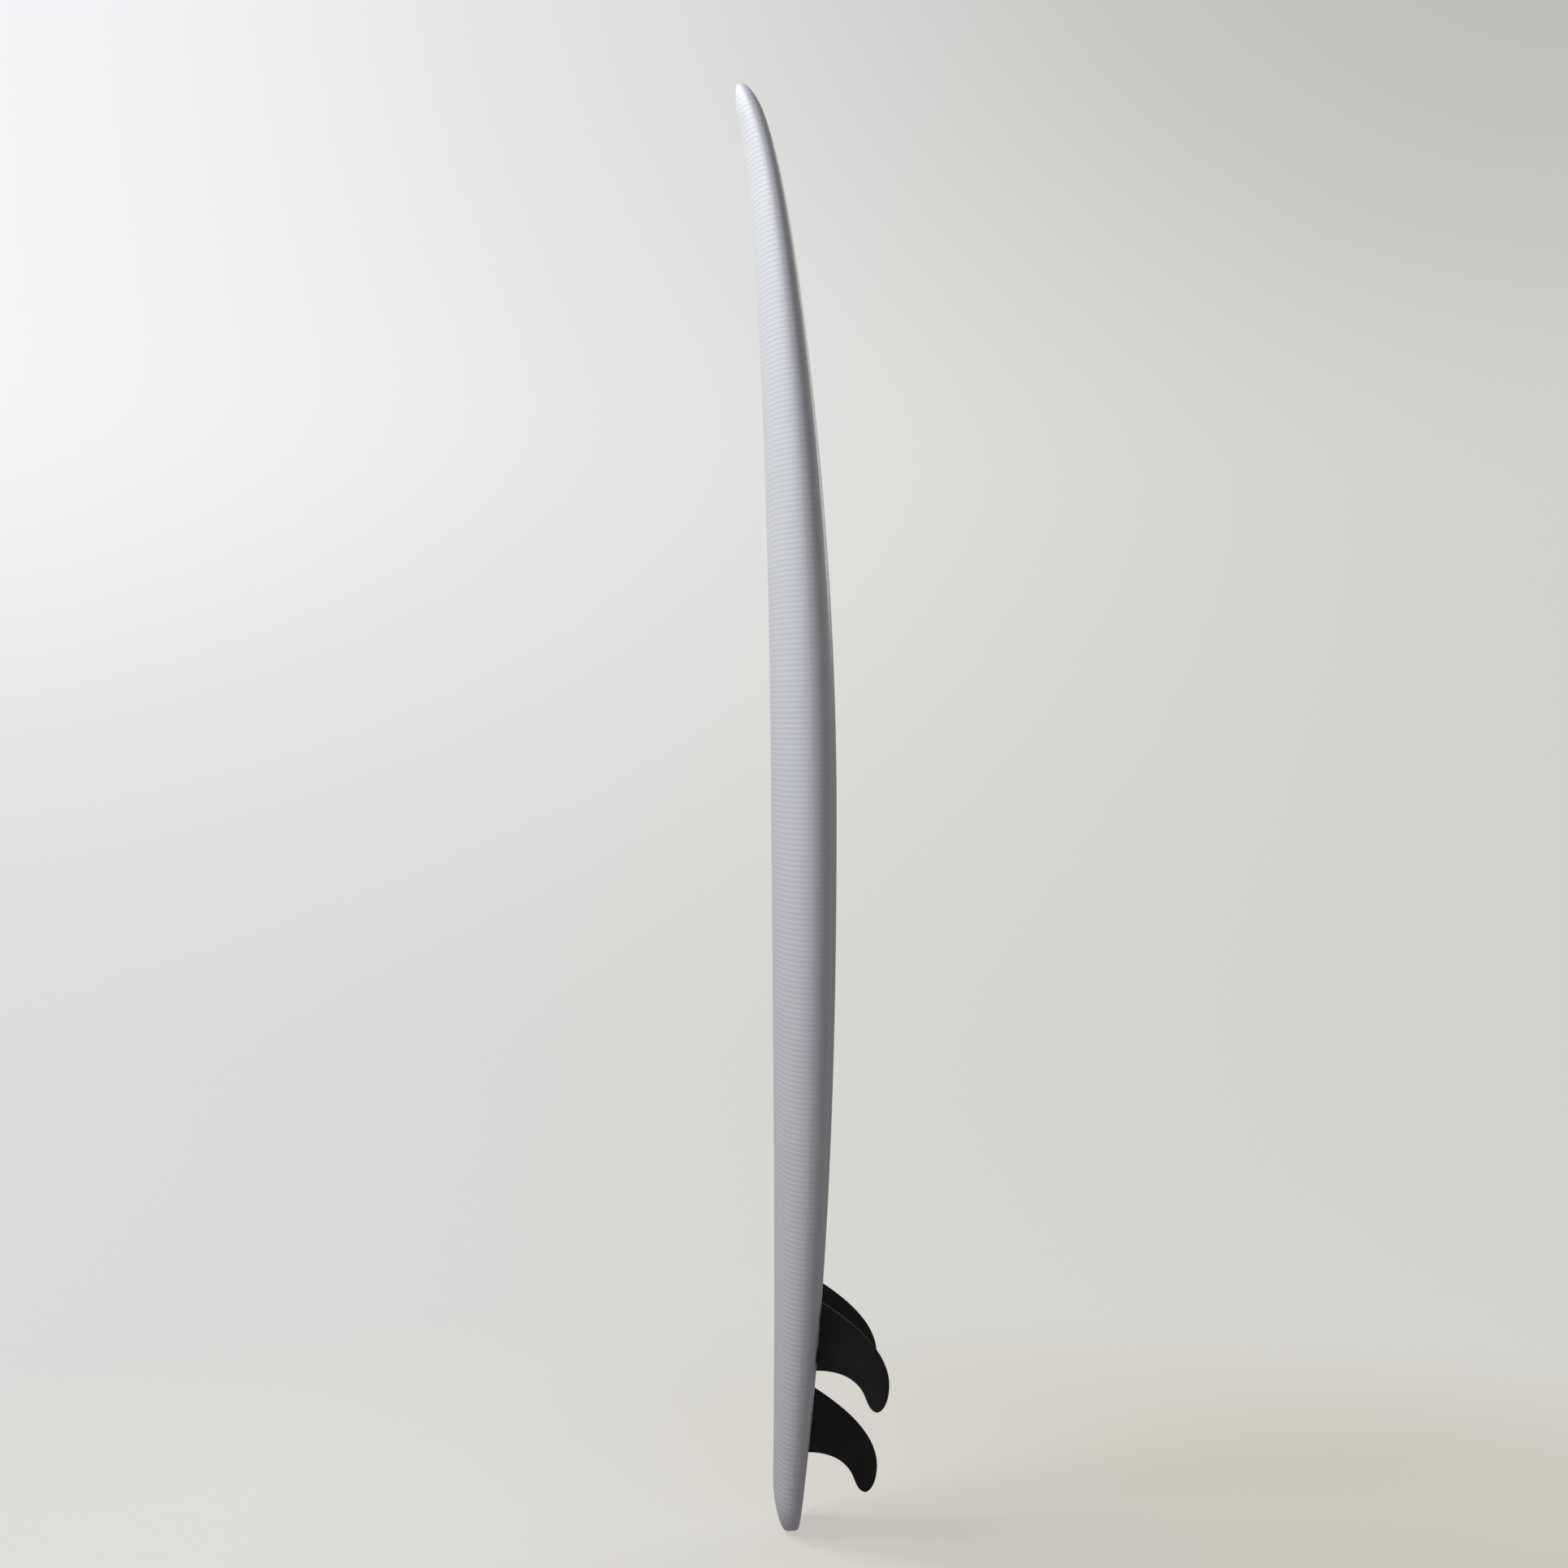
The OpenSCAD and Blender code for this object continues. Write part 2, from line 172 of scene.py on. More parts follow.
def halfWidth(z):
    s = share(z, board["wideZ"])
    toNose = board["halfWidth"] * (1 - s ** board["noseFullness"]) ** board["nosePoint"]
    toTail = board["tailHalf"] + (board["halfWidth"] - board["tailHalf"]) * (1 - s ** board["tailFullness"])
    return np.where(z > board["wideZ"], toNose, toTail) * closing(z, board["cornerEnd"])


def taper(z):  # thickness before the ends are rounded
    s = share(z, board["thickZ"])
    toNose = board["midThick"] - (board["midThick"] - board["noseThick"]) * s ** board["noseThinning"]
    toTail = board["midThick"] - (board["midThick"] - board["tailThick"]) * s ** board["tailThinning"]
    return np.where(z > board["thickZ"], toNose, toTail)


def depth(z, side):  # of the bottom (side 1) or the deck (side -1) from the rail's widest line
    part = board["lowShare"] if side > 0 else 1 - board["lowShare"]
    tailEnd = closing(z, board["bottomTailEnd" if side > 0 else "deckTailEnd"])
    return part * taper(z) * tailEnd * closing(board["length"] - z, board["noseEnd"])


def railX(z):  # the rail's widest line
    s = share(z, board["rockerZ"])
    toNose = board["noseRocker"] * s ** board["noseBend"] + board["noseFlip"] * s ** board["flipBend"]
    lift = np.where(z > board["rockerZ"], toNose, board["tailRocker"] * s ** board["tailBend"])
    return flatX - lift - board["lowShare"] * taper(z)


def sectionPoint(z, angle, deckIn=0.0, bottomIn=0.0):  # at an angle round the section: x, y
    c, s = np.cos(angle), np.sin(angle)
    across, through = np.where(s < 0, *[np.array(board[k])[:, None] for k in ("deckCurve", "bottomCurve")])
    reach = np.where(s < 0, deckIn - depth(z, -1), depth(z, 1) - bottomIn)
    x = railX(z) + reach * np.abs(s) ** (2 / through)
    return x, (halfWidth(z) - deckIn) * np.sign(c) * np.abs(c) ** (2 / across)


def surfaceX(z, y, side):  # place of the bottom (side 1) or the deck (side -1) at z and y
    across, through = board["bottomCurve"] if side > 0 else board["deckCurve"]
    fall = (1 - (abs(y) / halfWidth(z)) ** across) ** (1 / through)
    return float(railX(z) + side * depth(z, side) * fall)


# The two skins: foam over deck, rails and ends, and the slick sheet let into the bottom

skin = {
    "seamShare": 0.891,                    # half-width of the slick, as a share of the board's
    "seamEnds": (0.024, 0.026),            # where the slick stops, from tail and nose
    "seamCorners": ((0.050, 0.96, 2.2), (0.110, 0.96, 2.2)),  # how its tail and nose end close
    "ringEven": 0.15, "columnEven": 0.4, "bendWeight": 0.8,   # how evenly rings and columns are spread
    "endRings": 12, "middleRings": 230, "slickColumns": 34, "foamColumns": 96,
    "seamRound": 0.0007,                   # rounding of both edges along the seam
    "capSteps": ((0.86, 0.0004), (0.55, 0.0006), (0.2, 0.0007)),  # rings of an end cap: size, dome
    "angleSamples": 1200, "drillSides": 96, "drillOver": 0.01,
    "softAngle": 40,                       # degrees: edges that bend more are shaded sharp
}


def ringHeights():  # rings stand close together at the ends of the board and of the slick
    tailEnd, noseEnd = skin["seamEnds"][0], board["length"] - skin["seamEnds"][1]
    quarter = 1 - np.cos(np.linspace(0, math.pi / 2, skin["endRings"] + 1))
    u = np.linspace(0, 1, skin["middleRings"] + 1)
    even = skin["ringEven"]
    middle = tailEnd + (noseEnd - tailEnd) * ((1 - even) * (1 - np.cos(math.pi * u)) / 2 + even * u)
    nose = board["length"] - skin["seamEnds"][1] * quarter[::-1]
    return np.concatenate([tailEnd * quarter[:-1], middle, nose[1:]])


def seamAngle(z):  # angle round the section at which foam and slick meet
    gaps = np.clip([z - skin["seamEnds"][0], board["length"] - skin["seamEnds"][1] - z], 0, None)
    ends = [closing(gap, corner) for gap, corner in zip(gaps, skin["seamCorners"])]
    return math.acos((skin["seamShare"] * ends[0] * ends[1]) ** (board["bottomCurve"][0] / 2))


def evenAngles(z, start, end, count):  # angles that share out length and bend evenly
    angles = np.linspace(start, end, skin["angleSamples"])
    x, y = sectionPoint(z, angles)
    step = np.stack([np.diff(x), np.diff(y)])
    length = np.hypot(*step)
    turn = np.abs(np.diff(np.unwrap(np.arctan2(step[1], step[0])), prepend=0))
    turn[0] = 0
    weight = length / length.sum() + skin["bendWeight"] * turn / turn.sum()
    total = np.concatenate([[0], np.cumsum(weight)])
    return np.interp(np.linspace(0, total[-1], count + 1), total, angles)


def ringAngles(z):  # slick columns from the left seam to the right one, then the foam columns back
    seam = seamAngle(z)
    edge = math.cos(seam) ** (2 / board["bottomCurve"][0])
    u = np.linspace(0, 1, skin["slickColumns"] + 1)
    even = skin["columnEven"]
    across = edge * ((1 - even) * np.cos(math.pi * u) + even * (1 - 2 * u))
    slick = np.arccos(np.sign(across) * np.abs(across) ** (board["bottomCurve"][0] / 2))
    foam = evenAngles(z, math.pi - seam, 2 * math.pi + seam, skin["foamColumns"])
    return np.concatenate([slick[:-1], foam[:-1]])


def boardPoints():  # outer and inner points of every ring, and their places on the flat skin
    heights = ringHeights()
    rail = railX(heights)
    slope = np.arctan(np.gradient(rail, heights))
    along = np.concatenate([[0], np.cumsum(np.hypot(np.diff(rail), np.diff(heights)))])
    outer, inner, lay = [], [], []
    for k, z in enumerate(heights):
        angles = ringAngles(z)
        x, y = sectionPoint(z, angles)
        outer.append(np.stack([x, y, np.full_like(x, z)], 1))
        innerX, innerY = sectionPoint(z, angles, board["skinThick"], board["slickThick"])
        innerZ = z + (1 - 2 * z / board["length"]) * board["skinThick"]
        inner.append(np.stack([innerX, innerY, np.full_like(x, innerZ)], 1))
        girth = np.concatenate([[0], np.cumsum(np.hypot(*(np.diff([x, y], append=[x[:1], y[:1]]))))])
        deckMiddle = skin["slickColumns"] + skin["foamColumns"] // 2
        lay.append((girth - girth[deckMiddle], along[k] + (x - rail[k]) * math.sin(slope[k])))
    return np.array(outer), np.array(inner), lay


def isSlick(k, j):
    rings = skin["endRings"], skin["endRings"] + skin["middleRings"]
    return rings[0] <= k < rings[1] and 0 <= j < skin["slickColumns"]


def skinMesh(name, slick, rings):  # a closed sheet: outer and inner faces, and a wall along the seam
    outer, inner, lay = rings
    ringCount, columns = outer.shape[:2]
    bm = bmesh.new()
    layLayer = bm.loops.layers.uv.new("lay")
    roundLayer = bm.edges.layers.float.new("bevel_weight_edge")
    made = {}

    def vertex(depth, k, j):
        key = (depth, k, j % columns)
        if key not in made:
            made[key] = bm.verts.new((outer, inner)[depth][k, j % columns])
        return made[key]

    def addFace(corners):  # each corner: depth, ring, column
        face = bm.faces.new([vertex(*corner) for corner in corners])
        face.smooth = True
        for loop, (depth, k, j) in zip(face.loops, corners):
            loop[layLayer].uv = (lay[k][0][j], lay[k][1][j % columns])

    for k in range(ringCount - 1):
        for j in range(columns):
            if isSlick(k, j) != slick:
                continue
            corners = [(k, j), (k + 1, j), (k + 1, j + 1), (k, j + 1)]
            beside = [(k, j - 1), (k + 1, j), (k, j + 1), (k - 1, j)]
            addFace([(0, *corner) for corner in corners])
            addFace([(1, *corner) for corner in reversed(corners)])
            for i in range(4):
                if isSlick(beside[i][0], beside[i][1] % columns) != slick:
                    p, q = corners[i], corners[(i + 1) % 4]
                    addFace([(0, *q), (0, *p), (1, *p), (1, *q)])
                    edge = bm.edges.get([vertex(0, *p), vertex(0, *q)])
                    edge[roundLayer] = 1.0
    if not slick:
        for depth in (0, 1):
            capEnds(bm, [[vertex(depth, k, j) for j in range(columns)] for k in (0, ringCount - 1)], depth)
    return newPiece(name, bm)


def capEnds(bm, rings, depth):  # flat tail end, softly domed nose
    for end, ring in enumerate(rings):
        centre = sum((v.co for v in ring), Vector()) / len(ring)
        outline = ring
        for scale, dome in skin["capSteps"]:
            rise = Vector((0, 0, dome if end > depth else 0))
            smaller = [bm.verts.new(centre + (v.co - centre) * scale + rise) for v in ring]
            for j in range(len(ring)):
                after = (j + 1) % len(ring)
                quad = [outline[j], outline[after], smaller[after], smaller[j]]
                bm.faces.new(quad if end == depth else reversed(quad)).smooth = True
            outline = smaller
        bm.faces.new(outline if end == depth else reversed(outline)).smooth = True


def newPiece(name, bm):
    mesh = bpy.data.meshes.new(name)
    bm.to_mesh(mesh)
    bm.free()
    piece = bpy.data.objects.new(name, mesh)
    bpy.context.scene.collection.objects.link(piece)
    return piece


def baked(piece):  # the piece with its modifiers applied
    mesh = bpy.data.meshes.new_from_object(piece.evaluated_get(bpy.context.evaluated_depsgraph_get()))
    old = piece.data
    piece.modifiers.clear()
    piece.data = mesh
    bpy.data.meshes.remove(old)
    mesh.name = piece.name
    return piece


def withTool(piece, tool, operation):  # joins a tool's shape to the piece, or cuts it out
    modifier = piece.modifiers.new("tool", "BOOLEAN")
    modifier.operation = operation
    modifier.solver = "EXACT"
    modifier.object = tool
    baked(piece)
    bpy.data.objects.remove(tool)
    return piece


def softEdges(piece, degrees):
    piece.data.set_sharp_from_angle(angle=math.radians(degrees))


def roundSeam(piece):
    bevel = piece.modifiers.new("seam", "BEVEL")
    bevel.limit_method = "WEIGHT"
    bevel.width = skin["seamRound"]
    bevel.segments = 3
    bevel.use_clamp_overlap = True
    return baked(piece)


# Places of fins and plugs, as the design sets them

fins = {
    "centreZ": 0.172, "sideZ": 0.325, "sideY": 0.142, "toeIn": math.radians(3),
    "plugGap": 0.058, "plugRadius": 0.014, "plugDeep": 0.019,
    "probeZ": 0.050, "probeY": 0.004,
}
leash = {"z": 0.088, "y": 0.032, "radius": 0.015, "deep": 0.017}


def finPlace(side):  # side is 0, 1 for the left fin or -1 for the right one
    z, y = (fins["sideZ"] if side else fins["centreZ"]), side * fins["sideY"]
    stepZ, stepY = fins["probeZ"], fins["probeY"]
    rise = (surfaceX(z + stepZ, y, 1) - surfaceX(z - stepZ, y, 1)) / (2 * stepZ)
    fall = (surfaceX(z, y - stepY, 1) - surfaceX(z, y + stepY, 1)) / (2 * stepY)
    turn = Matrix.Rotation(math.atan(rise), 4, "Y") @ Matrix.Rotation(math.atan(fall), 4, "Z")
    toe = Matrix.Rotation(side * fins["toeIn"], 4, "X")
    return Matrix.Translation((surfaceX(z, y, 1), y, z)) @ turn @ toe


def plugPlaces(side):  # +Z out of the bottom, at the mouth of each plug
    upright = Matrix.Rotation(math.pi / 2, 4, "Y")
    middles = [Matrix.Translation((0, 0, end * fins["plugGap"] / 2)) for end in (1, -1)]
    return [finPlace(side) @ middle @ upright for middle in middles]


def leashPlace():  # +Z out of the deck
    z, y, stepZ, stepY = leash["z"], leash["y"], leash["radius"], fins["probeY"]
    rise = (surfaceX(z + stepZ, y, -1) - surfaceX(z - stepZ, y, -1)) / (2 * stepZ)
    fall = (surfaceX(z, y + stepY, -1) - surfaceX(z, y - stepY, -1)) / (2 * stepY)
    turn = Matrix.Rotation(math.atan(rise), 4, "Y") @ Matrix.Rotation(-math.atan(fall), 4, "Z")
    return Matrix.Translation((surfaceX(z, y, -1), y, z)) @ turn @ Matrix.Rotation(-math.pi / 2, 4, "Y")


def drill(piece, places, radius, deep):  # round holes down the Z axis of each place
    bm = bmesh.new()
    over = skin["drillOver"]
    for place in places:
        middle = Matrix.Translation((0, 0, (over - deep) / 2))
        bmesh.ops.create_cone(bm, cap_ends=True, segments=skin["drillSides"], radius1=radius,
                              radius2=radius, depth=deep + over, matrix=place @ middle)
    withTool(piece, newPiece("drill", bm), "DIFFERENCE")


# Fins: raked foils with a round edge all the way, and two tabs each

fin = {
    "base": 0.107, "thick": 0.007, "lift": 0.0004, "edge": 0.0006,
    "leadLow": ((0, 0), (26, 50), (66, 113), (121, 118.5)),
    "leadHigh": ((121, 118.5), (143, 120.5), (164, 115), (167, 103)),
    "trailLow": ((110, 0), (107, 30), (112, 58), (135, 76)),
    "trailHigh": ((135, 76), (146, 84.6), (166, 88), (167, 103)),
    "patternBase": 110, "spanSteps": 64, "chordSteps": 22, "edgeSteps": 4, "spanSpread": 1.3,
    "bulges": {0: (1, 1), 1: (1.8, 0.2), -1: (0.2, 1.8)},  # of the left and the right face, by side
    # shares of the outline where the blade ends and its tip starts to round; what thins to the tip
    "tipEnd": 0.9985, "tipStart": 0.93, "thinning": 0.75, "edgeThinning": 0.3, "tipThick": 0.25,
    "tabLong": 0.018, "tabThick": 0.0062, "tabDeep": 0.014, "tabRoot": 0.002, "tabRound": 0.0008,
    "widestRound": 0.25,  # most of the chord that a round edge may take
    "softAngle": 35,
}


def bezier(points, t):
    p = [Vector(point) for point in points]
    return (1 - t) ** 3 * p[0] + 3 * t * (1 - t) ** 2 * p[1] + 3 * t * t * (1 - t) * p[2] + t ** 3 * p[3]


def outline(low, high, t):
    scale = fin["base"] / fin["patternBase"]
    return scale * (bezier(fin[low], 2 * t) if t < 0.5 else bezier(fin[high], 2 * t - 1))


def foil(c):  # half-thickness at share c of the chord, for a foil of thickness 1
    return 5 * (0.2969 * math.sqrt(c) - 0.126 * c - 0.3516 * c ** 2 + 0.2843 * c ** 3 - 0.1036 * c ** 4)


def chordShares(roundShare):  # round leading edge, blade, round trailing edge
    turns = [math.pi / 2 * i / fin["edgeSteps"] for i in range(fin["edgeSteps"])]
    corner = [roundShare * (1 - math.cos(turn)) for turn in turns]
    n = fin["chordSteps"]
    blade = [roundShare + (1 - 2 * roundShare) * (1 - math.cos(math.pi * i / n)) / 2 for i in range(n + 1)]
    return corner + blade + [1 - c for c in reversed(corner)]


def bladeRing(bm, t, bulge):  # one section of the blade, at share t of its outline
    lead, trail = outline("leadLow", "leadHigh", t), outline("trailLow", "trailHigh", t)
    intoTip = max(0.0, (t - fin["tipStart"]) / (1 - fin["tipStart"]))
    tip = fin["tipThick"] + (1 - fin["tipThick"]) * math.sqrt(max(0.0, 1 - intoTip ** 2))
    thick = fin["thick"] * (1 - fin["thinning"] * t) * tip
    edge = fin["edge"] * (1 - fin["edgeThinning"] * t)
    roundShare = min(edge / (trail - lead).length, fin["widestRound"])
    shares = chordShares(roundShare)
    ring = []
    for sign, full, along in ((1, bulge[0], shares), (-1, bulge[1], shares[-2:0:-1])):
        for c in along:
            near = min(c, 1 - c, roundShare) / roundShare
            half = edge * math.sqrt(max(0.0, 1 - (1 - near) ** 2)) + thick * foil(c) * full
            p = lead + (trail - lead) * c
            ring.append(bm.verts.new((p.y + fin["lift"], sign * half, fin["base"] / 2 - p.x)))
    return ring


def finTabs():
    bm = bmesh.new()
    high = fin["lift"] + fin["tabRoot"]
    size = Matrix.Diagonal((fin["tabDeep"] + high, fin["tabThick"], fin["tabLong"], 1))
    for end in (1, -1):
        centre = Matrix.Translation(((high - fin["tabDeep"]) / 2, 0, end * fins["plugGap"] / 2))
        bmesh.ops.create_cube(bm, size=1, matrix=centre @ size)
    bmesh.ops.bevel(bm, geom=bm.edges, offset=fin["tabRound"], segments=3, affect="EDGES")
    return newPiece("tabs", bm)


def finPiece(name, side):
    bm = bmesh.new()
    steps = [1 - (1 - k / (fin["spanSteps"] - 1)) ** fin["spanSpread"] for k in range(fin["spanSteps"])]
    rings = [bladeRing(bm, min(t, fin["tipEnd"]), fin["bulges"][side]) for t in steps]
    count = len(rings[0])
    for lower, upper in zip(rings, rings[1:]):
        for j in range(count):
            after = (j + 1) % count
            bm.faces.new([lower[j], lower[after], upper[after], upper[j]])
    bm.faces.new(reversed(rings[0]))
    bm.faces.new(rings[-1])
    bmesh.ops.recalc_face_normals(bm, faces=bm.faces)
    blade = newPiece(name, bm)
    withTool(blade, finTabs(), "UNION")
    blade.data.transform(finPlace(side))
    for face in blade.data.polygons:
        face.use_smooth = True
    softEdges(blade, fin["softAngle"])
    return blade


# Finishes

foamLook = {
    "pale": (0.78, 0.80, 0.86), "deep": (0.70, 0.72, 0.785), "roughness": 0.62,
    "ribPitch": 0.0081, "ribHigh": 0.00022, "ribFade": (0.27, 0.34),  # girth at which the ribs fade
    "grainHigh": 0.00016, "grainSize": 1 / 0.0016,
    "meshScale": 900, "mottleScale": 260, "driftStretch": (2.2, 2.2, 0.9),
    "specular": 0.35, "sheen": 0.12, "sheenRoughness": 0.5,
}


def foamSkinFinish():  # cross-ribbed, pebbled closed-cell foam
    finish = Finish("foamSkin")
    girth, along = finish.parts(finish.lay())[:2]
    place = finish.place()
    rib = (along * (2 * math.pi / foamLook["ribPitch"])).sine()
    ribFade = 1 - girth.size().between(*foamLook["ribFade"]) * 0.75
    pebble = finish.cells(place, foamLook["grainSize"], "SMOOTH_F1")
    mesh = finish.noise(place, foamLook["meshScale"], 4, 0.6)
    drift = finish.noise(finish.stretched(place, foamLook["driftStretch"]), 2.0, 3)
    mottle = finish.noise(place, foamLook["mottleScale"], 3, 0.65)
    shade = mottle.between(0.25, 0.8) * 0.35 + drift.between(0.3, 0.7) * 0.25 + rib * ribFade * 0.10 + 0.15
    skinNormal = finish.bump(pebble * 0.6 + mesh * 0.6, foamLook["grainHigh"])
    ribNormal = finish.bump(rib * ribFade * 0.5, foamLook["ribHigh"], skinNormal)
    return finish.close(Base_Color=shade.mixed(foamLook["pale"], foamLook["deep"]),
                        Roughness=foamLook["roughness"] + (mottle - 0.5) * 0.12,
                        Specular_IOR_Level=foamLook["specular"], Sheen_Weight=foamLook["sheen"],
                        Sheen_Roughness=foamLook["sheenRoughness"], Normal=ribNormal)


slickLook = {
    "pale": (0.66, 0.675, 0.71), "deep": (0.60, 0.615, 0.65), "roughness": 0.30,
    "streakStretch": (60, 60, 1.5), "scuffStretch": (25, 25, 0.6), "scuffRange": (0.62, 0.75),
    "grainScale": 700, "grainHigh": 0.00002, "waveScale": 14, "waveHigh": 0.0006,
    "specular": 0.5, "coatRoughness": 0.2,
}


def slickFinish():  # smooth sheet, faintly drawn along the board
    finish = Finish("slickSheet")
    place = finish.place()
    streaks = finish.noise(finish.stretched(place, slickLook["streakStretch"]), 6, 4, 0.6)
    scuffNoise = finish.noise(finish.stretched(place, slickLook["scuffStretch"]), 30, 5, 0.7)
    scuffs = scuffNoise.between(*slickLook["scuffRange"])
    wave = finish.noise(place, slickLook["waveScale"], 2)
    skinGrain = finish.noise(place, slickLook["grainScale"], 3, 0.6)
    normal = finish.bump(skinGrain, slickLook["grainHigh"], finish.bump(wave, slickLook["waveHigh"]))
    shade = streaks.between(0.3, 0.7) * 0.5 + scuffs * 0.2
    return finish.close(Base_Color=shade.mixed(slickLook["pale"], slickLook["deep"]),
                        Roughness=slickLook["roughness"] + streaks * 0.10 + scuffs * 0.12,
                        Specular_IOR_Level=slickLook["specular"],
                        Coat_Roughness=slickLook["coatRoughness"], Normal=normal)


finLook = {
    "black": (0.0085, 0.008, 0.0075), "worn": (0.016, 0.0155, 0.015), "wornRange": (0.35, 0.75),
    "roughness": 0.42, "grainScale": 1500, "grainHigh": 0.00004, "cloudScale": 22, "specular": 0.45,
}


def finFinish():  # moulded black nylon with a fine spark-eroded grain
    finish = Finish("finPlastic")
    place = finish.place()
    grain = finish.noise(place, finLook["grainScale"], 3, 0.6)
    cloud = finish.noise(place, finLook["cloudScale"], 3)
    normal = finish.bump(grain, finLook["grainHigh"])
    wear = cloud.between(*finLook["wornRange"])
    return finish.close(Base_Color=wear.mixed(finLook["black"], finLook["worn"]),
                        Roughness=finLook["roughness"] + cloud * 0.12 + (grain - 0.5) * 0.08,
                        Specular_IOR_Level=finLook["specular"], Normal=normal)


plugLook = {
    "black": (0.020, 0.020, 0.022), "grey": (0.034, 0.034, 0.037), "roughness": 0.36,
    "grainScale": 1100, "grainHigh": 0.00004, "cloudScale": 60,
}


def plugFinish():  # moulded plugs and cup
    finish = Finish("plugPlastic")
    place = finish.place()
    grain = finish.noise(place, plugLook["grainScale"], 3)
    cloud = finish.noise(place, plugLook["cloudScale"], 2)
    return finish.close(Base_Color=cloud.mixed(plugLook["black"], plugLook["grey"]),
                        Roughness=plugLook["roughness"] + cloud * 0.12,
                        Normal=finish.bump(grain, plugLook["grainHigh"]))


steelLook = {
    "bright": (0.62, 0.62, 0.61), "dull": (0.50, 0.50, 0.49), "roughness": 0.24,
    "turnedStretch": (1, 1, 0.2), "turnedScale": 2600, "turnedHigh": 0.00002, "hazeScale": 300,
}


def steelFinish():  # turned stainless steel
    finish = Finish("stainlessSteel")
    place = finish.place()
    turned = finish.noise(finish.stretched(place, steelLook["turnedStretch"]), steelLook["turnedScale"], 2)
    haze = finish.noise(place, steelLook["hazeScale"], 3)
    return finish.close(Base_Color=haze.mixed(steelLook["bright"], steelLook["dull"]), Metallic=1.0,
                        Roughness=steelLook["roughness"] + haze * 0.14,
                        Normal=finish.bump(turned, steelLook["turnedHigh"]))


coreLook = {
    "gap": (0.70, 0.70, 0.67), "bead": (0.88, 0.88, 0.86), "roughness": 0.75,
    "beadScale": 260, "gapWidth": 0.10, "beadRound": 0.25, "beadHigh": 0.0003,
}


def coreFinish():  # moulded beads
    finish = Finish("beadFoam")
    place = finish.place()
    bead = finish.cells(place, coreLook["beadScale"])
    edge = finish.cells(place, coreLook["beadScale"], "DISTANCE_TO_EDGE")
    colour = edge.between(0.0, coreLook["gapWidth"]).mixed(coreLook["gap"], coreLook["bead"])
    domes = finish.bump(edge.between(0.0, coreLook["beadRound"]), coreLook["beadHigh"])
    return finish.close(Base_Color=colour, Roughness=coreLook["roughness"] + bead * 0.1, Normal=domes)


woodLook = {
    "pale": (0.62, 0.42, 0.22), "deep": (0.42, 0.26, 0.12), "pore": (0.20, 0.11, 0.05), "roughness": 0.6,
    "grainStretch": (90, 90, 2.5), "poreStretch": (500, 500, 14), "poreRange": (0.62, 0.8),
    "grainHigh": 0.0001,
}


def woodFinish():  # straight grain along the stringer
    finish = Finish("stringerWood")
    place = finish.place()
    grain = finish.noise(finish.stretched(place, woodLook["grainStretch"]), 3.0, 6, 0.65)
    poreNoise = finish.noise(finish.stretched(place, woodLook["poreStretch"]), 2.5, 2)
    pores = poreNoise.between(*woodLook["poreRange"])
    colour = grain.between(0.3, 0.7).mixed(woodLook["pale"], woodLook["deep"])
    return finish.close(Base_Color=(pores * 0.5).mixed(colour, woodLook["pore"]),
                        Roughness=woodLook["roughness"] + pores * 0.15,
                        Normal=finish.bump(grain + pores, woodLook["grainHigh"]))


# Making the pieces

boardRings = boardPoints()
foamSkin = roundSeam(skinMesh("deckSkin", False, boardRings))
drill(foamSkin, [leashPlace()], leash["radius"], leash["deep"])
slickSheet = roundSeam(skinMesh("bottomSlick", True, boardRings))
allPlugs = [place for side in (-1, 0, 1) for place in plugPlaces(side)]
drill(slickSheet, allPlugs, fins["plugRadius"], fins["plugDeep"])
print("skins made:", len(foamSkin.data.polygons), "and", len(slickSheet.data.polygons), "faces")

for piece, node, slotName, finish in ((foamSkin, "deck_skin", "skin", foamSkinFinish()),
                                      (slickSheet, "bottom_slick", "slick", slickFinish())):
    softEdges(piece, skin["softAngle"])
    piece.data.materials.clear()
    piece.data.materials.append(finish)
    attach(piece, "board")
    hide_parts(node)

finPlastic = finFinish()
for name, side in (("Centre", 0), ("Left", 1), ("Right", -1)):
    piece = finPiece("fin" + name, side)
    piece.data.materials.clear()
    piece.data.materials.append(finPlastic)
    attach(piece, "fin_" + name.lower())
    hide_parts("fin_" + name.lower())
print("fins made")

nodeFinishes = {"core": coreFinish(), "stringer": woodFinish(),
                "plug": plugFinish(), "screw": steelFinish()}
nodeFinishes["leash_plug"] = nodeFinishes["plug"]
nodeFinishes["leash_bar"] = nodeFinishes["screw"]
for node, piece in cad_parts.items():
    for start, finish in nodeFinishes.items():
        if node.startswith(start):
            for materialSlot in piece.material_slots:
                materialSlot.material = finish
print("finishes set on the carried-over parts")


# Stage, light and camera

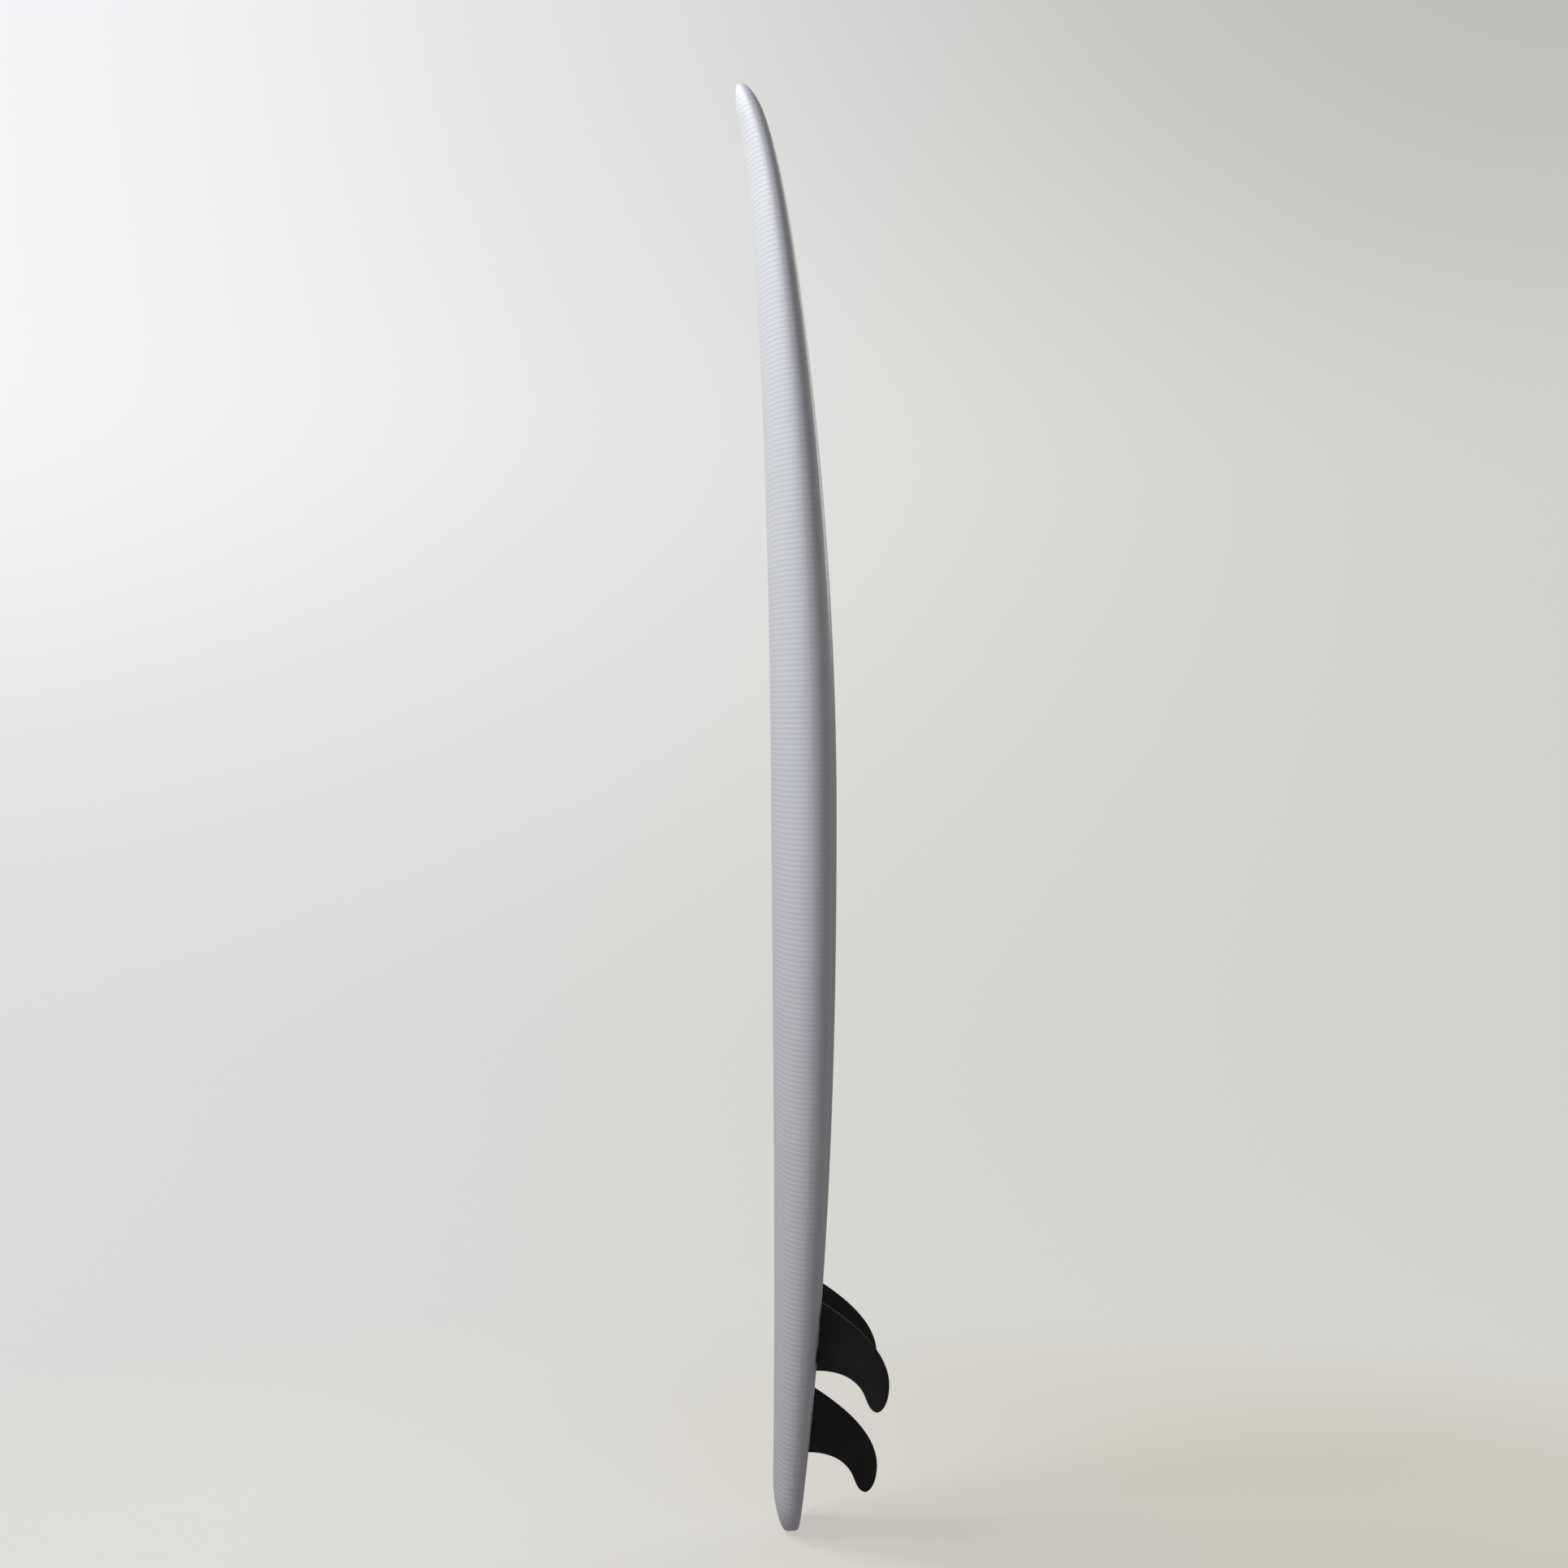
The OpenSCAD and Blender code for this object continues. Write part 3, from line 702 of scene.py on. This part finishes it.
stage = {
    "bowlRadius": 9.5, "bowlCurve": 4.5, "wallHigh": 9.0,
    "paperPale": (0.80, 0.785, 0.74), "paperDeep": (0.765, 0.75, 0.705),
    # painted light on the floor near the board: lighter on the left, with painted shade darker and yellower
    # on the right
    "floorPaintedLight": (0.83, 0.82, 0.795), "floorPaintedShade": (0.74, 0.71, 0.62), "nearGlow": 0.61,
    # painted light on the backdrop: brighter high on the left, with painted shade darker high on the right
    "wallPaintedLightLow": (0.73, 0.725, 0.725), "wallPaintedLightHigh": (0.93, 0.93, 0.95),
    "wallPaintedShadeLow": (0.645, 0.635, 0.600), "wallPaintedShadeHigh": (0.50, 0.50, 0.475),
    # in metres: how far each change of the painted light and shade reaches across, up and out
    "acrossWall": (-3.4, 3.4), "leftRise": (0.1, 2.6), "rightRise": (2.0, 4.4),
    "acrossFloor": (-0.9, 1.1), "fadeOut": (0.1, 6.0),  # fadeOut is in square metres
    "floorRings": (0.001, 0.5, 1, 2, 3, 4), "curveSteps": 24, "bowlSides": 128,
}


def stageFinish():  # matt paper floor with painted light glowing on it near the board, lighter on the left and darker, yellower on the right, fading into a backdrop that glows with painted light, brighter high on the left and darker high on the right
    finish = Finish("stagePaperAndPaintedLight")
    place = finish.place()
    x, y, z = finish.parts(place)
    fibres = finish.noise(place, 3, 3)
    toRight = x.between(*stage["acrossWall"])
    # the backdrop's glow is painted light and shade: brighter high on the left, darker on the right
    left = z.between(*stage["leftRise"]).mixed(stage["wallPaintedLightLow"], stage["wallPaintedLightHigh"])
    right = z.between(*stage["rightRise"]).mixed(stage["wallPaintedShadeLow"], stage["wallPaintedShadeHigh"])
    # the floor's glow near the board is painted light, with painted shade darker and yellower on the right
    near = x.between(*stage["acrossFloor"]).mixed(stage["floorPaintedLight"], stage["floorPaintedShade"])
    away = (x * x + y * y).between(*stage["fadeOut"])
    glow = finish.add("ShaderNodeEmission", None, {"Color": away.mixed(near, toRight.mixed(left, right))})
    paper = finish.add("ShaderNodeBsdfDiffuse", None,
                       {"Color": fibres.mixed(stage["paperPale"], stage["paperDeep"])})
    glowShare = away * (1 - stage["nearGlow"]) + stage["nearGlow"]
    faded = finish.add("ShaderNodeMixShader", None, {0: glowShare, 1: paper, 2: glow})
    finish.add("ShaderNodeOutputMaterial", None, {"Surface": faded})
    return finish.material


def lathe(name, profile, segments):  # a surface of revolution about Z, seen from inside
    bm = bmesh.new()
    rings = []
    turns = [2 * math.pi * i / segments for i in range(segments)]
    for radius, high in profile:
        rings.append([bm.verts.new((radius * math.cos(a), radius * math.sin(a), high)) for a in turns])
    for low, high in zip(rings, rings[1:]):
        for i in range(segments):
            after = (i + 1) % segments
            bm.faces.new([low[i], low[after], high[after], high[i]]).smooth = True
    piece = newPiece(name, bm)
    return piece


def bowlProfile():
    corner, radius = stage["bowlRadius"] - stage["bowlCurve"], stage["bowlCurve"]
    arc = [math.pi / 2 * i / stage["curveSteps"] for i in range(stage["curveSteps"] + 1)]
    curve = [(corner + radius * math.sin(a), radius * (1 - math.cos(a))) for a in arc]
    floor = [(reach, 0) for reach in stage["floorRings"]]
    return floor + curve + [(stage["bowlRadius"], stage["wallHigh"])]


bowl = lathe("studioBowl", bowlProfile(), stage["bowlSides"])
bowl.visible_diffuse = False
bowl.visible_glossy = False
bowl.data.materials.append(stageFinish())


def softbox(name, place, target, size, power, colour):
    lamp = bpy.data.lights.new(name, "AREA")
    lamp.shape = "RECTANGLE"
    lamp.size, lamp.size_y = size
    lamp.energy = power
    lamp.color = colour
    light = bpy.data.objects.new(name, lamp)
    light.location = place
    light.rotation_euler = (Vector(target) - Vector(place)).to_track_quat("-Z", "Y").to_euler()
    light.visible_camera = False
    bpy.context.scene.collection.objects.link(light)


lights = {  # place, target, size, watts, colour
    "keyLight": ((-1.55, 1.25, 3.4), (0, 0, 1.9), (1.4, 1.4), 49, (1.00, 1.01, 0.98)),
    "sideLight": ((-1.75, -1.0, 3.4), (0, 0, 1.9), (1.4, 1.4), 30, (0.98, 0.99, 1.00)),
    "lowLight": ((-2.12, -2.12, 1.3), (0, 0, 1.5), (1.4, 1.4), 13, (0.96, 0.98, 1.05)),
    "fillLight": ((2.4, 4.0, 2.8), (0, 0, 1.1), (2.0, 2.4), 30, (1.0, 0.98, 0.95)),
}
air = {"colour": (1.0, 0.93, 0.92, 1.0), "strength": 0.185}  # dim light from all round

for name, values in lights.items():
    softbox(name, *values)
world = bpy.data.worlds.new("studioAir")
world.use_nodes = True
background = world.node_tree.nodes["Background"]
background.inputs["Color"].default_value = air["colour"]
background.inputs["Strength"].default_value = air["strength"]
bpy.context.scene.world = world
bpy.context.scene.view_settings.view_transform = "Standard"

view = {
    "place": (-0.268, -6.555, 1.305), "ahead": (0.0401, 0.9992), "tilt": math.radians(-1.08),
    "lens": 95.07, "sensor": 36, "farthest": 100,
}
camera = bpy.data.objects.new("camera", bpy.data.cameras.new("camera"))
camera.location = view["place"]
level = math.cos(view["tilt"])
ahead = Vector((view["ahead"][0] * level, view["ahead"][1] * level, math.sin(view["tilt"])))
camera.rotation_euler = ahead.to_track_quat("-Z", "Y").to_euler()
camera.data.lens = view["lens"]
camera.data.sensor_width = view["sensor"]
camera.data.clip_end = view["farthest"]
bpy.context.scene.collection.objects.link(camera)
bpy.context.scene.camera = camera
print("stage, lights and camera set")
